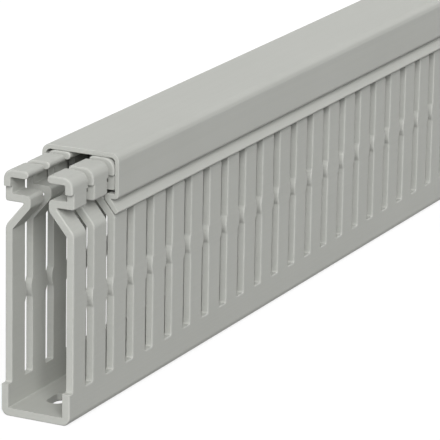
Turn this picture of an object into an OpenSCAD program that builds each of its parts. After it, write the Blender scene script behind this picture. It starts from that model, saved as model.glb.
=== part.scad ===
// Slotted wire duct with a clip-on cover, 75 x 25 mm size, 1 m of stock.
// X runs across the duct, Y along it and Z up. The origin is the middle of the
// channel's base face. The cut end at low Y is the one that shows the open heads.

/* [Channel] */

// length of the stock
duct_length = 1000; // [500:12.5:2000]

// width over the two outer faces
channel_w = 22.8; // [20:0.1:40]

// height from the base face to the top of the heads
channel_h = 74.7; // [50:0.1:100]

// thickness of the side walls and fingers
wall_t = 2.4; // [2:0.1:2.6]

// thickness of the floor
floor_t = 2.5; // [2:0.1:4]

// radius of the long bottom corners
bottom_r = 2.4; // [1:0.1:2.4]

/* [Slots] */

// distance from one slot to the next
slot_pitch = 12.5; // [12.5:0.5:20]

// width of a slot between two fingers
slot_w = 5.3; // [5:0.1:6.5]

// height of the slots' lower end above the base face
slot_z = 9.8; // [6:0.1:15]

// distance from the cut end to the first finger
end_gap = 2.35; // [2:0.05:2.8]

// height of the middle of the cable grips above the base face
grip_z = 35.6; // [25:0.1:45]

// height of a cable grip along the finger
grip_h = 6; // [4:0.1:8]

// how far a cable grip stands out into the slot
grip_out = 1.3; // [0.5:0.1:1.8]

/* [Heads] */

// height of the hook, from its step to its top
hook_h = 5.1; // [4:0.1:6]

// thickness of the hook's top arm
hook_t = 2.25; // [1.8:0.05:3]

// reach of the hook from the outer face to its tip
hook_reach = 8.3; // [6:0.1:9]

// radius of the hook's outer shoulder
shoulder_r = 3; // [1:0.1:3]

// how far the hook stands out past each side of its finger
hook_overhang = 1.25; // [0.5:0.05:1.6]

// height of the whole head, from the arm's underside to its top
head_h = 9.9; // [9:0.1:11]

// reach of the head's lower arm from the outer face
neck_reach = 8.4; // [7:0.1:9]

// angle of the neck from the vertical
neck_angle = 40; // [35:1:45]

// radius at which the outer wall turns into the neck
neck_r = 3; // [2.6:0.1:4]

/* [Base holes] */

// distance from one fixing slot to the next
hole_pitch = 50; // [50:12.5:100]

// width of a fixing slot
hole_w = 5.6; // [4.5:0.1:7]

// length of a fixing slot over its round ends
hole_length = 10; // [8:0.5:20]

// distance from the cut end to the middle of the first fixing slot
hole_start = 15; // [15:0.5:30]

/* [Cover] */

// how far the cover is set back from the channel's cut end
cover_setback = 26.5; // [0:0.5:40]

// thickness of the cover's side walls
cover_t = 1.35; // [1.2:0.05:1.6]

// thickness of the cover's top
cover_top_t = 1.5; // [1.2:0.1:2]

// gap between the cover and the heads
cover_gap = 0.1; // [0.05:0.05:0.3]

// radius of the cover's long top corners
cover_r = 2; // [1:0.1:2.5]

// depth of the cover's side walls below the top of the heads
cover_drop = 12.3; // [12:0.1:13]

// angle of the cover's lips from the vertical
lip_angle = 36; // [34:1:38]

// height of the lips' outer edge below the top of the heads
lip_edge = 16.1; // [15.5:0.1:16.5]

/* [Hidden] */

$fn = 32;
eps = 1;

channel_color = [0.68, 0.68, 0.66];
cover_color = [0.70, 0.70, 0.68];

finger_count = round(duct_length / slot_pitch);
hole_count = floor((duct_length - 2 * hole_start) / hole_pitch) + 1;
first_slot_y = end_gap - slot_w / 2 - duct_length / 2;

// the head's lower arm, and the neck that carries it
arm_t = wall_t;
arm_top_z = channel_h - head_h + arm_t;
arm_under_z = channel_h - head_h;
neck_x = 6.2;
neck_foot_z = arm_under_z - neck_x / tan(neck_angle);
neck_slant = wall_t / cos(neck_angle);
neck_inner_foot_z = neck_foot_z - (neck_slant - wall_t) / tan(neck_angle);
neck_inner_top_z = neck_foot_z + (neck_reach - neck_slant) / tan(neck_angle);
bend_top_r = 1.2;
bend_foot_r = 2;
arm_corner_r = 0.8;

// the cover's catch, which hooks in under the head's lower arm
catch_z = channel_h - 10.75;
catch_reach = 3.3;
catch_r = 1.3;
catch_notch = 1.3;
cover_out = cover_gap + cover_t;
cover_under_z = channel_h + cover_gap;
cover_top_z = cover_under_z + cover_top_t;
cover_foot_z = channel_h - cover_drop;
cover_foot_r = 1.3;
cover_inner_r = 0.5;
lip_edge_z = channel_h - lip_edge;
lip_t = 1.4;

channel();
cover();

// the sliver between a corner at p, whose sides run along angles a and b, and
// the arc of radius r that rounds it
module corner_sliver(p, a, b, r) {
  half = (b - a) / 2;
  side = r / tan(half);
  middle = (a + b) / 2;
  difference() {
    polygon([p, p + side * [cos(a), sin(a)], p + side * [cos(b), sin(b)]]);
    translate(p + r / sin(half) * [cos(middle), sin(middle)]) circle(r);
  }
}

// moves a profile drawn inward from an outer face onto both sides of the duct
module both_sides() {
  translate([-channel_w / 2, 0]) children();
  mirror([1, 0]) translate([-channel_w / 2, 0]) children();
}

// extrudes a profile in X and Z along the duct, from y for a length
module along_duct(y, length) {
  translate([0, y + length, 0]) rotate([90, 0, 0]) linear_extrude(length) children();
}

// one side wall with its neck and head, drawn inward from the outer face
module wall_profile() {
  slant = 90 - neck_angle;
  difference() {
    polygon([
      [0, 0],
      [channel_w / 2, 0],
      [channel_w / 2, floor_t],
      [wall_t, floor_t],
      [wall_t, neck_inner_foot_z],
      [neck_reach, neck_inner_top_z],
      [neck_reach, arm_top_z],
      [wall_t, arm_top_z],
      [wall_t, channel_h - hook_t],
      [hook_reach - hook_t / 2, channel_h - hook_t],
      [hook_reach - hook_t / 2, channel_h],
      [0, channel_h],
      [0, arm_under_z],
      [neck_x, arm_under_z],
      [0, neck_foot_z]
    ]);
    corner_sliver([0, 0], 0, 90, bottom_r);
    corner_sliver([0, channel_h], -90, 0, shoulder_r);
    corner_sliver([0, arm_under_z], 0, 90, arm_corner_r);
    corner_sliver([0, neck_foot_z], -90, slant, neck_r);
    corner_sliver([neck_reach, arm_top_z], 180, 270, bend_top_r);
    corner_sliver([neck_reach, neck_inner_top_z], 90, 180 + slant, bend_foot_r);
  }
  corner_sliver([wall_t, neck_inner_foot_z], -90, slant, neck_r - wall_t);
  translate([hook_reach - hook_t / 2, channel_h - hook_t / 2]) circle(d = hook_t);
}

// one slot seen from the side, with a grip on each finger and the hooks above;
// the slots that the cut ends run through have no grips
module slot_outline(gripped) {
  grip_r = (grip_h * grip_h / 4 + grip_out * grip_out) / (2 * grip_out);
  difference() {
    translate([-slot_w / 2, slot_z]) square([slot_w, channel_h - hook_h - slot_z]);
    if (gripped)
      for (side = [-1, 1])
        translate([side * (slot_w / 2 - grip_out + grip_r), grip_z]) circle(grip_r);
  }
  translate([-slot_w / 2 + hook_overhang, channel_h - hook_h - eps])
    square([slot_w - 2 * hook_overhang, hook_h + 2 * eps]);
}

module fixing_slot() {
  straight = hole_length - hole_w;
  linear_extrude(floor_t + 2 * eps) {
    square([hole_w, straight], center = true);
    for (end = [-1, 1]) translate([0, end * straight / 2]) circle(d = hole_w);
  }
}

module channel() {
  color(channel_color)
    difference() {
      along_duct(-duct_length / 2, duct_length) both_sides() wall_profile();
      for (i = [0 : finger_count])
        translate([-channel_w / 2 - eps, first_slot_y + i * slot_pitch, 0])
          rotate([90, 0, 90]) linear_extrude(channel_w + 2 * eps)
            slot_outline(gripped = i > 0 && i < finger_count);
      for (i = [0 : hole_count - 1])
        translate([0, hole_start + i * hole_pitch - duct_length / 2, -eps]) fixing_slot();
    }
}

// one half of the cover, drawn inward from the channel's outer face
module cover_profile() {
  bend = [catch_reach - catch_r, catch_z - catch_r];
  bend_side = bend + catch_r * [cos(lip_angle), -sin(lip_angle)];
  bend_corner = bend + catch_r * [tan(45 + lip_angle / 2), 1];
  lip_edge_x = catch_notch - (cover_foot_z - lip_edge_z) * tan(lip_angle);
  lip_foot = [lip_edge_x, lip_edge_z] + lip_t * [cos(lip_angle), -sin(lip_angle)];
  difference() {
    polygon([
      [channel_w / 2, cover_top_z],
      [-cover_out, cover_top_z],
      [-cover_out, cover_foot_z],
      [catch_notch, cover_foot_z],
      [lip_edge_x, lip_edge_z],
      lip_foot,
      bend_side,
      bend_corner,
      [-cover_gap, catch_z],
      [-cover_gap, cover_under_z],
      [channel_w / 2, cover_under_z]
    ]);
    corner_sliver([-cover_out, cover_top_z], -90, 0, cover_r);
    corner_sliver([-cover_out, cover_foot_z], 0, 90, cover_foot_r);
    corner_sliver(bend_corner, 180, 270 - lip_angle, catch_r);
  }
  corner_sliver([-cover_gap, cover_under_z], -90, 0, cover_inner_r);
}

module cover() {
  color(cover_color)
    along_duct(cover_setback - duct_length / 2, duct_length) both_sides() cover_profile();
}
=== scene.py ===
"""The looks of the slotted wire duct: rounded channel and cover meshes, grey PVC, a pale studio."""
import math

import bmesh
import bpy
from mathutils import Matrix, Vector


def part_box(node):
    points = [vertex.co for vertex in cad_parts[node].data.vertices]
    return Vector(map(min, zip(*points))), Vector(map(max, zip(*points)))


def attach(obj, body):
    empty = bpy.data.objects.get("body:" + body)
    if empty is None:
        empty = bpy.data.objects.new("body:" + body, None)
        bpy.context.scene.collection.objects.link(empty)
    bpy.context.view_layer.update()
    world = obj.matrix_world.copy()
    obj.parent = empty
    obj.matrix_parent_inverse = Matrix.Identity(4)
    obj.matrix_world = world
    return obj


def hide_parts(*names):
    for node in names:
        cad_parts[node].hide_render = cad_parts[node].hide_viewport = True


MM = 0.001

# The duct's section, in millimetres: x is measured inward from the outer face, z from the base face.
WALL_T = 2.4
FLOOR_T = 2.5
BOTTOM_R = 2.4
HOOK_H = 5.1
HOOK_T = 2.25
HOOK_REACH = 8.3
SHOULDER_R = 3
HEAD_H = 9.9
NECK_REACH = 8.4
NECK_ANGLE = math.radians(40)
NECK_X = 6.2
NECK_R = 3
BEND_TOP_R = 1.2
BEND_FOOT_R = 2
ARM_CORNER_R = 0.8
INNER_R = 0.3

# The slots, their cable grips and the gap between two hooks, in millimetres. SLOT_W is a slot's
# width in the solids. SLOT_INSIDE is the width between its sides here, inside its rounded edges.
SLOT_PITCH = 12.5
SLOT_W = 5.3
SLOT_INSIDE = 4.7
SLOT_Z = 9.8
SLOT_CORNER_R = 0.5
END_GAP = 2.35
GRIP_Z = 35.6
GRIP_H = 6.4
GRIP_OUT = 1.0
HOOK_GAP = 2.8

# The slots in the floor, in millimetres.
HOLE_PITCH = 50
HOLE_W = 5.6
HOLE_LENGTH = 10
HOLE_START = 15

# The cover's section, in millimetres.
COVER_T = 1.35
COVER_TOP_T = 1.5
COVER_GAP = 0.1
COVER_R = 2.7
COVER_INNER_R = 1.4
COVER_DROP = 12.3
COVER_FOOT_R = 1.3
CATCH_DROP = 10.75
CATCH_REACH = 3.3
CATCH_R = 1.3
CATCH_NOTCH = 1.3
LIP_ANGLE = math.radians(36)
LIP_EDGE = 16.1
LIP_T = 1.4
LIP_EDGE_R = 0.25

# How far edges are rounded, in millimetres: the outer edges of the hooks, the channel's other outer
# edges, its inner edges, and the cover's sawn edges. An edge that turns by less than SHARP is smooth.
HOOK_EDGE = 0.6
OUTER_EDGE = 0.45
INNER_EDGE = 0.08
SAWN_EDGE = 0.18
SHARP = math.radians(35)

# How finely shapes are made, in millimetres: how far an arc's chords may lie inside it, how close
# points of an outline and of a mesh are merged, how far from a height a place still counts as at
# it, and how far a cutter goes past the solid. Then the sides of a grip's arc and of a rounding.
ARC_ERROR = 0.02
OUTLINE_MERGE = 0.005
MESH_MERGE = 0.002
NEAR = 0.1
PAST = 1
GRIP_STEPS = 8
EDGE_STEPS = 2

# What a face is: the outer or the inner skin of the profile, a cut face, or the rounding of an edge.
OUTER, INNER, CUT, EDGE = range(4)

# The PVC's greys as linear colours, and how far its rounded edges take the paler one, which is partly
# wear and partly a painted highlight.
PVC_DARK = (0.420, 0.426, 0.398, 1)
PVC_LIGHT = (0.460, 0.466, 0.438, 1)
PVC_WORN_HIGHLIGHT = (0.540, 0.545, 0.518, 1)
WORN_HIGHLIGHT_SHARE = 0.35

# The PVC's gloss: its roughness, how much its tone and its cut faces add to it, and its reflection.
ROUGHNESS = 0.46
ROUGHNESS_SPREAD = 0.12
CUT_ROUGHER = 0.08
PVC_IOR = 1.53
PVC_SPECULAR = 0.12

# The PVC's patterns: how large their blotches are across, along and up the duct, in millimetres,
# which part of the noise becomes the range from 0 to 1, and how much each adds to tone and relief.
MOTTLE = (22, 34, 22)
GRAIN = (0.35, 0.35, 0.35)
WORN_HIGHLIGHT_PATCHES = (2.5, 4, 2.5)
DRAWN_LINES = (0.9, 320, 0.9)
PUNCH_MARKS = (30, 0.7, 0.7)
NOISE_LOW = 0.28
NOISE_HIGH = 0.72
MOTTLE_TONE = 0.6
LINE_TONE = 0.4
LINE_RELIEF = 0.5
BUMP = 0.3
BUMP_DEPTH = 0.05

# The camera: where it stands round its aim, how it is turned, and its lens. The angles are in
# degrees, the aim and the lens in millimetres, and the distance in metres.
CAMERA_AZIMUTH = 26.267
CAMERA_ELEVATION = 16.2475
CAMERA_ROLL = 1.049
CAMERA_DISTANCE = 1.09947
AIM_ALONG = 96.6
AIM_UP = 38.43
LENS = 288.99
SENSOR = 36
VIEW_LIMIT = 20

# The studio: what the world gives as light, and the floor's half size in metres, its grey, and the
# light that makes it white to the camera.
WHITE = (1, 1, 1, 1)
WORLD_LIGHT = 0.31
FLOOR_SIZE = 4
FLOOR_GREY = (0.2, 0.2, 0.2, 1)
FLOOR_ROUGHNESS = 0.9
FLOOR_GLOW = 0.8

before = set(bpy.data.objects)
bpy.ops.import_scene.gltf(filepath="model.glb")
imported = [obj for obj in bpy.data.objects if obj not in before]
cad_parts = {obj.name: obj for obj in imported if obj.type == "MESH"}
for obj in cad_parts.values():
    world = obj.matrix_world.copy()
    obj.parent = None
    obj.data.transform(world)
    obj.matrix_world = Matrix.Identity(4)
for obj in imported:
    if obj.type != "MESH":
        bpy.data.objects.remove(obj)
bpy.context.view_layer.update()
channel_low, channel_high = (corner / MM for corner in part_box("channel"))
cover_low, cover_high = (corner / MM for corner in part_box("cover"))
WIDTH = channel_high.x - channel_low.x
HEIGHT = channel_high.z
FRONT = channel_low.y
LENGTH = channel_high.y - channel_low.y
FINGERS = round(LENGTH / SLOT_PITCH)
FIRST_SLOT = FRONT + END_GAP - SLOT_W / 2


def rounded(corners):
    """An outline through corners (x, y, radius), with an arc at each corner that has a radius."""
    outline = []
    for i, (x, y, radius) in enumerate(corners):
        corner = Vector((x, y))
        if not radius:
            outline.append(corner)
            continue
        before = (Vector(corners[i - 1][:2]) - corner).normalized()
        after = (Vector(corners[(i + 1) % len(corners)][:2]) - corner).normalized()
        half = before.angle(after) / 2
        middle = corner + (before + after).normalized() * radius / math.sin(half)
        start = corner + before * radius / math.tan(half) - middle
        turn = math.pi - 2 * half
        if before.x * after.y - before.y * after.x > 0:
            turn = -turn
        steps = max(2, math.ceil(abs(turn) / (2 * math.acos(1 - ARC_ERROR / radius))))
        outline += [middle + Matrix.Rotation(turn * k / steps, 2) @ start for k in range(steps + 1)]
    return [
        point for i, point in enumerate(outline)
        if (point - outline[i - 1]).length > OUTLINE_MERGE
    ]


def both_sides(half, width):
    """A half profile, drawn inward from the left outer face, and its mirror image as one outline."""
    left = [Vector((p.x - width / 2, p.y)) for p in half]
    return left + [Vector((-p.x, p.y)) for p in reversed(left)]


def prism(name, outline, start, length, axis="Y", skins=None):
    """A closed mesh of a flat outline, drawn along an axis; skins say what each of its sides is."""
    mesh = bmesh.new()
    ends = []
    for place in (start, start + length):
        points = [p.to_3d() for p in outline]
        for p in points:
            p.xyz = {"X": (place, p.x, p.y), "Y": (p.x, place, p.y), "Z": (p.x, p.y, place)}[axis]
        ends.append([mesh.verts.new(p) for p in points])
    for i in range(len(outline)):
        side = mesh.faces.new((ends[0][i - 1], ends[0][i], ends[1][i], ends[1][i - 1]))
        side.material_index = skins[i] if skins else CUT
    for end in ends:
        mesh.faces.new(end).material_index = CUT
    bmesh.ops.recalc_face_normals(mesh, faces=mesh.faces)
    return with_kinds(as_object(name, mesh))


def as_object(name, mesh):
    """Turns a bmesh into an object in the scene."""
    data = bpy.data.meshes.new(name)
    mesh.to_mesh(data)
    mesh.free()
    piece = bpy.data.objects.new(name, data)
    bpy.context.scene.collection.objects.link(piece)
    return piece


def with_kinds(piece):
    """Gives the piece an empty material slot for each kind of face, so that its cuts keep the kinds."""
    for kind in (OUTER, INNER, CUT, EDGE):
        piece.data.materials.append(None)
    return piece


def apply_modifiers(piece):
    """Makes the piece's mesh what its modifiers show."""
    depsgraph = bpy.context.evaluated_depsgraph_get()
    data = bpy.data.meshes.new_from_object(piece.evaluated_get(depsgraph))
    piece.modifiers.clear()
    piece.data = data


def cut(piece, cutters):
    """Takes the cutters out of the piece and removes them."""
    for cutter in cutters:
        boolean = piece.modifiers.new("cut", "BOOLEAN")
        boolean.operation = "DIFFERENCE"
        boolean.solver = "EXACT"
        boolean.object = cutter
    apply_modifiers(piece)
    for cutter in cutters:
        bpy.data.objects.remove(cutter)


def channel_outline():
    """The channel's section: the floor, and on each side a wall, a neck, a lower arm and a hook."""
    arm_top = HEIGHT - HEAD_H + WALL_T
    arm_under = HEIGHT - HEAD_H
    neck_foot = arm_under - NECK_X / math.tan(NECK_ANGLE)
    slant = WALL_T / math.cos(NECK_ANGLE)
    inner_foot = neck_foot - (slant - WALL_T) / math.tan(NECK_ANGLE)
    inner_top = neck_foot + (NECK_REACH - slant) / math.tan(NECK_ANGLE)
    half = rounded([
        (WIDTH / 2, 0, 0),
        (0, 0, BOTTOM_R),
        (0, neck_foot, NECK_R),
        (NECK_X, arm_under, INNER_R),
        (0, arm_under, ARM_CORNER_R),
        (0, HEIGHT, SHOULDER_R),
        (HOOK_REACH, HEIGHT, HOOK_T / 2),
        (HOOK_REACH, HEIGHT - HOOK_T, HOOK_T / 2),
        (WALL_T, HEIGHT - HOOK_T, INNER_R),
        (WALL_T, arm_top, INNER_R),
        (NECK_REACH, arm_top, BEND_TOP_R),
        (NECK_REACH, inner_top, BEND_FOOT_R),
        (WALL_T, inner_foot, NECK_R - WALL_T),
        (WALL_T, FLOOR_T, INNER_R),
        (WIDTH / 2, FLOOR_T, 0),
    ])
    return both_sides(half[1:-1], WIDTH)


def slot_outline(middle, gripped):
    """One slot seen from the side: the gap between two fingers, their grips, and the gap between hooks.

    The slots that the cut ends run through have no grips and only one side.
    """
    half = SLOT_INSIDE / 2 if gripped else SLOT_W / 2
    gap = HOOK_GAP / 2
    step = HEIGHT - HOOK_H
    right = [Vector((gap, HEIGHT + PAST)), Vector((gap, step)), Vector((half, step))]
    if gripped:
        radius = (GRIP_H ** 2 / 4 + GRIP_OUT ** 2) / (2 * GRIP_OUT)
        reach = math.asin(GRIP_H / 2 / radius)
        for k in range(GRIP_STEPS + 1):
            angle = reach * (1 - 2 * k / GRIP_STEPS)
            right.append(Vector((
                half - GRIP_OUT + radius * (1 - math.cos(angle)),
                GRIP_Z + radius * math.sin(angle),
            )))
    right += rounded([(half, GRIP_Z, 0), (half, SLOT_Z, SLOT_CORNER_R), (0, SLOT_Z, 0)])[1:-1]
    left = [Vector((-p.x, p.y)) for p in reversed(right)]
    return [Vector((p.x + middle, p.y)) for p in right + left]


def hole_outline(middle):
    """One slot in the floor, seen from above."""
    r = HOLE_W / 2
    y = HOLE_LENGTH / 2
    corners = [(-r, -y, r), (r, -y, r), (r, y, r), (-r, y, r)]
    return [Vector((p.x, p.y + middle)) for p in rounded(corners)]


def soften(piece, rounding):
    """Rounds each sharp outward edge as far as rounding(edge) says, and keeps flat faces flat.

    It leaves two attributes for the material, which say whether a face is a rounding or a cut.
    """
    mesh = bmesh.new()
    mesh.from_mesh(piece.data)
    bmesh.ops.remove_doubles(mesh, verts=mesh.verts, dist=MESH_MERGE)
    bmesh.ops.dissolve_degenerate(mesh, edges=mesh.edges, dist=MESH_MERGE)
    weight = mesh.edges.layers.float.new("bevel_weight_edge")
    for edge in mesh.edges:
        angle = edge.calc_face_angle_signed(0)
        edge.smooth = angle > -SHARP
        if angle > SHARP:
            edge[weight] = rounding(edge) / HOOK_EDGE
    for face in mesh.faces:
        face.smooth = True
    mesh.to_mesh(piece.data)
    mesh.free()
    bevel = piece.modifiers.new("rounding", "BEVEL")
    bevel.limit_method = "WEIGHT"
    bevel.width = HOOK_EDGE
    bevel.segments = EDGE_STEPS
    bevel.material = EDGE
    bevel.use_clamp_overlap = False
    weighted = piece.modifiers.new("weighted", "WEIGHTED_NORMAL")
    weighted.weight = 100
    weighted.keep_sharp = True
    apply_modifiers(piece)
    for name, kind in (("edge", EDGE), ("cut", CUT)):
        layer = piece.data.attributes.new(name, "FLOAT", "FACE")
        is_kind = [float(face.material_index == kind) for face in piece.data.polygons]
        layer.data.foreach_set("value", is_kind)
    piece.data.polygons.foreach_set("material_index", [0] * len(piece.data.polygons))
    piece.data.materials.clear()


def joined_prisms(name, outlines, start, length, axis):
    """Several prisms as one mesh, to cut with in one step."""
    cutters = [prism(name, outline, start, length, axis) for outline in outlines]
    mesh = bmesh.new()
    for cutter in cutters:
        mesh.from_mesh(cutter.data)
        bpy.data.objects.remove(cutter)
    return with_kinds(as_object(name, mesh))


def punched_edge(edge):
    """How far an edge of the channel is rounded: most on the hooks, and least on the inner skin.

    Round the tip of a hook it grows with the height, from the inner edge's to the hook's own.
    """
    outer = any(face.material_index == OUTER for face in edge.link_faces)
    middle = (edge.verts[0].co + edge.verts[1].co) / 2
    if middle.z < HEIGHT - HOOK_H + NEAR:
        return OUTER_EDGE if outer else INNER_EDGE
    if WIDTH / 2 - abs(middle.x) > HOOK_REACH - HOOK_T / 2:
        rise = 1 - (HEIGHT - middle.z) / HOOK_T
        return INNER_EDGE + (HOOK_EDGE - INNER_EDGE) * rise
    return HOOK_EDGE if outer else INNER_EDGE


def make_channel():
    """The channel's section along the duct, with the slots punched across it and through its floor."""
    outline = channel_outline()
    tip_x = HOOK_REACH - WIDTH / 2
    tip = next(i for i, point in enumerate(outline) if point.x > tip_x - ARC_ERROR)
    skins = [OUTER if min(i, len(outline) - 1 - i) <= tip else INNER for i in range(len(outline))]
    piece = prism("channel_detail", outline, FRONT, LENGTH, skins=skins)
    slots = [
        slot_outline(FIRST_SLOT + i * SLOT_PITCH, gripped=0 < i < FINGERS)
        for i in range(FINGERS + 1)
    ]
    holes = [
        hole_outline(FRONT + HOLE_START + i * HOLE_PITCH)
        for i in range(int((LENGTH - 2 * HOLE_START) / HOLE_PITCH) + 1)
    ]
    cut(piece, [
        joined_prisms("slot_cutters", slots, -WIDTH, 2 * WIDTH, axis="X"),
        joined_prisms("hole_cutters", holes, -FLOOR_T, 3 * FLOOR_T, axis="Z"),
    ])
    soften(piece, punched_edge)
    return piece


def cover_outline():
    """The cover's section: a flat top, and on each side a wall, an inward catch and an outward lip."""
    out = COVER_GAP + COVER_T
    under = HEIGHT + COVER_GAP
    foot = HEIGHT - COVER_DROP
    catch = HEIGHT - CATCH_DROP
    lip_z = HEIGHT - LIP_EDGE
    lip_x = CATCH_NOTCH - (foot - lip_z) * math.tan(LIP_ANGLE)
    across = Vector((math.cos(LIP_ANGLE), -math.sin(LIP_ANGLE)))
    lip_foot = Vector((lip_x, lip_z)) + LIP_T * across
    bend_side = Vector((CATCH_REACH - CATCH_R, catch - CATCH_R)) + CATCH_R * across
    bend_x = CATCH_REACH - CATCH_R + CATCH_R * math.tan(math.pi / 4 + LIP_ANGLE / 2)
    half = rounded([
        (WIDTH / 2, under + COVER_TOP_T, 0),
        (-out, under + COVER_TOP_T, COVER_R),
        (-out, foot, COVER_FOOT_R),
        (CATCH_NOTCH, foot, 0),
        (lip_x, lip_z, LIP_EDGE_R),
        (lip_foot.x, lip_foot.y, LIP_EDGE_R),
        (bend_side.x, bend_side.y, 0),
        (bend_x, catch, CATCH_R),
        (-COVER_GAP, catch, INNER_R),
        (-COVER_GAP, under, COVER_INNER_R),
        (WIDTH / 2, under, 0),
    ])
    return both_sides(half[1:-1], WIDTH)


def make_cover():
    """The cover's section, drawn along the duct between its own cut ends."""
    outline = cover_outline()
    length = cover_high.y - cover_low.y
    piece = prism("cover_detail", outline, cover_low.y, length, skins=[OUTER] * len(outline))
    soften(piece, lambda edge: SAWN_EDGE)
    return piece


def take_finish(piece, node):
    """Puts the piece in the place of its CAD node, in metres, with the node's finish."""
    piece.data.transform(Matrix.Scale(MM, 4))
    piece.data.materials.append(plastic("pvc_" + node))
    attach(piece, node)
    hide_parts(node)


def add_node(tree, kind, inputs=None, **settings):
    """Adds a node; each of its inputs gets a value, or a link where an output is given."""
    node = tree.nodes.new("ShaderNode" + kind)
    for name, value in settings.items():
        setattr(node, name, value)
    for name, value in (inputs or {}).items():
        join(tree, value, node.inputs[name])
    return node


def join(tree, value, socket):
    """Links an output to the socket, or sets the socket to a plain value."""
    if isinstance(value, bpy.types.NodeSocket):
        tree.links.new(value, socket)
    else:
        socket.default_value = value


def math_node(tree, operation, *values):
    """The output of a Math node, whose inputs are the values in their order."""
    node = add_node(tree, "Math", operation=operation)
    for value, socket in zip(values, node.inputs):
        join(tree, value, socket)
    return node.outputs["Value"]


def noise(tree, place, size, detail=2.0):
    """Noise from 0 to 1 whose blotches have about the given size, in millimetres along each axis."""
    scale = [1 / (length * MM) for length in size]
    mapping = add_node(tree, "Mapping", {"Vector": place, "Scale": scale})
    texture = add_node(tree, "TexNoise", {
        "Vector": mapping.outputs["Vector"],
        "Scale": 1.0,
        "Detail": detail,
    })
    stretched = add_node(tree, "MapRange", {
        "Value": texture.outputs["Fac"],
        "From Min": NOISE_LOW,
        "From Max": NOISE_HIGH,
    })
    return stretched.outputs["Result"]


def plastic(name):
    """Extruded rigid PVC: drawn lines along its skins, marks across its cuts, and paler rounded edges,
    partly wear and partly painted highlight.
    """
    material = bpy.data.materials.new(name)
    material.use_nodes = True
    tree = material.node_tree
    shader = tree.nodes["Principled BSDF"]
    place = add_node(tree, "TexCoord").outputs["Object"]
    edge = add_node(tree, "Attribute", attribute_name="edge").outputs["Fac"]
    cut_face = add_node(tree, "Attribute", attribute_name="cut").outputs["Fac"]
    mottle = noise(tree, place, MOTTLE, detail=4.0)
    grain = noise(tree, place, GRAIN)
    worn_highlight_patches = noise(tree, place, WORN_HIGHLIGHT_PATCHES, detail=4.0)
    drawn = noise(tree, place, DRAWN_LINES, detail=3.0)
    punched = noise(tree, place, PUNCH_MARKS, detail=3.0)
    skin = math_node(tree, "SUBTRACT", 1.0, cut_face)
    on_skin = math_node(tree, "MULTIPLY", drawn, skin)
    on_cut = math_node(tree, "MULTIPLY", punched, cut_face)
    lines = math_node(tree, "ADD", on_skin, on_cut)
    blotches = math_node(tree, "MULTIPLY", mottle, MOTTLE_TONE)
    tone = math_node(tree, "MULTIPLY_ADD", lines, LINE_TONE, blotches)
    body = add_node(tree, "MixRGB", {"Fac": tone, "Color1": PVC_DARK, "Color2": PVC_LIGHT})
    # Painted highlight and wear: the rounded edges are paled in patches towards the paler grey, partly
    # as wear and partly to brighten them like a highlight.
    worn_highlight = math_node(tree, "MULTIPLY", math_node(tree, "MULTIPLY", edge, worn_highlight_patches), WORN_HIGHLIGHT_SHARE)
    colour = add_node(tree, "MixRGB", {"Fac": worn_highlight, "Color1": body.outputs["Color"], "Color2": PVC_WORN_HIGHLIGHT})
    join(tree, colour.outputs["Color"], shader.inputs["Base Color"])
    rough = math_node(tree, "MULTIPLY_ADD", tone, ROUGHNESS_SPREAD, ROUGHNESS)
    rough = math_node(tree, "MULTIPLY_ADD", cut_face, CUT_ROUGHER, rough)
    join(tree, rough, shader.inputs["Roughness"])
    shader.inputs["IOR"].default_value = PVC_IOR
    shader.inputs["Specular IOR Level"].default_value = PVC_SPECULAR
    relief = math_node(tree, "MULTIPLY_ADD", lines, LINE_RELIEF, grain)
    bump = add_node(tree, "Bump", {"Height": relief, "Strength": BUMP, "Distance": BUMP_DEPTH * MM})
    join(tree, bump.outputs["Normal"], shader.inputs["Normal"])
    return material


def polar(azimuth, elevation):
    """The direction towards a place round the object, with azimuth 0 at low Y and 90 at high X."""
    a, e = math.radians(azimuth), math.radians(elevation)
    return Vector((math.sin(a) * math.cos(e), -math.cos(a) * math.cos(e), math.sin(e)))


def add_camera():
    """Looks down along the duct from the cut end at low Y, a little from the right."""
    back = polar(CAMERA_AZIMUTH, CAMERA_ELEVATION)
    aim = Vector((WIDTH / 2, FRONT + AIM_ALONG, AIM_UP)) * MM
    right = Vector((-back.y, back.x, 0)).normalized()
    right.rotate(Matrix.Rotation(math.radians(CAMERA_ROLL), 3, back))
    up = back.cross(right)
    data = bpy.data.cameras.new("camera")
    data.lens = LENS
    data.sensor_width = SENSOR
    data.clip_end = VIEW_LIMIT
    camera = bpy.data.objects.new("camera", data)
    bpy.context.scene.collection.objects.link(camera)
    place = Matrix((right, up, back)).transposed().to_4x4()
    place.translation = aim + back * CAMERA_DISTANCE
    camera.matrix_world = place
    bpy.context.scene.camera = camera


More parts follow.
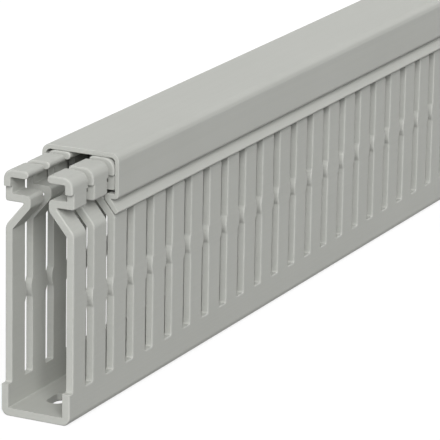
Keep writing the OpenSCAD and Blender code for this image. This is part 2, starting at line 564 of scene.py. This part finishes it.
def sun(name, azimuth, elevation, strength, width, glossy=True):
    """A far lamp, with its place and width in degrees; one that isn't glossy gives no highlight."""
    data = bpy.data.lights.new(name, "SUN")
    data.energy = strength
    data.angle = math.radians(width)
    lamp = bpy.data.objects.new(name, data)
    lamp.visible_glossy = glossy
    bpy.context.scene.collection.objects.link(lamp)
    lamp.matrix_world = polar(azimuth, elevation).to_track_quat("Z", "Y").to_matrix().to_4x4()


def white_to_camera(tree, socket, seen, otherwise):
    """The socket gets one value for the camera, mirrors and glass, and another for every other ray."""
    path = add_node(tree, "LightPath")
    is_seen = path.outputs["Is Camera Ray"]
    for ray in ("Is Glossy Ray", "Is Transmission Ray"):
        is_seen = math_node(tree, "MAXIMUM", is_seen, path.outputs[ray])
    value = add_node(tree, "MapRange", {"Value": is_seen, "To Min": otherwise, "To Max": seen})
    join(tree, value.outputs["Result"], socket)


def add_world():
    """A world that is white behind the object and lights it softly from all round."""
    world = bpy.data.worlds.new("studio")
    bpy.context.scene.world = world
    world.use_nodes = True
    background = world.node_tree.nodes["Background"]
    background.inputs["Color"].default_value = WHITE
    white_to_camera(world.node_tree, background.inputs["Strength"], seen=1.0, otherwise=WORLD_LIGHT)


def add_floor():
    """A floor that is white to the camera but keeps the object's shadow."""
    mesh = bmesh.new()
    bmesh.ops.create_grid(mesh, x_segments=1, y_segments=1, size=FLOOR_SIZE)
    floor = as_object("floor", mesh)
    material = bpy.data.materials.new("floor")
    material.use_nodes = True
    shader = material.node_tree.nodes["Principled BSDF"]
    shader.inputs["Base Color"].default_value = FLOOR_GREY
    shader.inputs["Roughness"].default_value = FLOOR_ROUGHNESS
    shader.inputs["Emission Color"].default_value = WHITE
    glow = shader.inputs["Emission Strength"]
    white_to_camera(material.node_tree, glow, seen=FLOOR_GLOW, otherwise=0.0)
    floor.data.materials.append(material)


take_finish(make_channel(), "channel")
take_finish(make_cover(), "cover")
add_camera()
add_floor()
add_world()
sun("key", azimuth=36, elevation=34, strength=2.7, width=35)
sun("front_fill", azimuth=6, elevation=22, strength=0.85, width=45)
sun("rim", azimuth=168, elevation=24, strength=0.45, width=50)
sun("back_fill", azimuth=255, elevation=3, strength=2.3, width=60, glossy=False)
bpy.context.scene.view_settings.view_transform = "Standard"
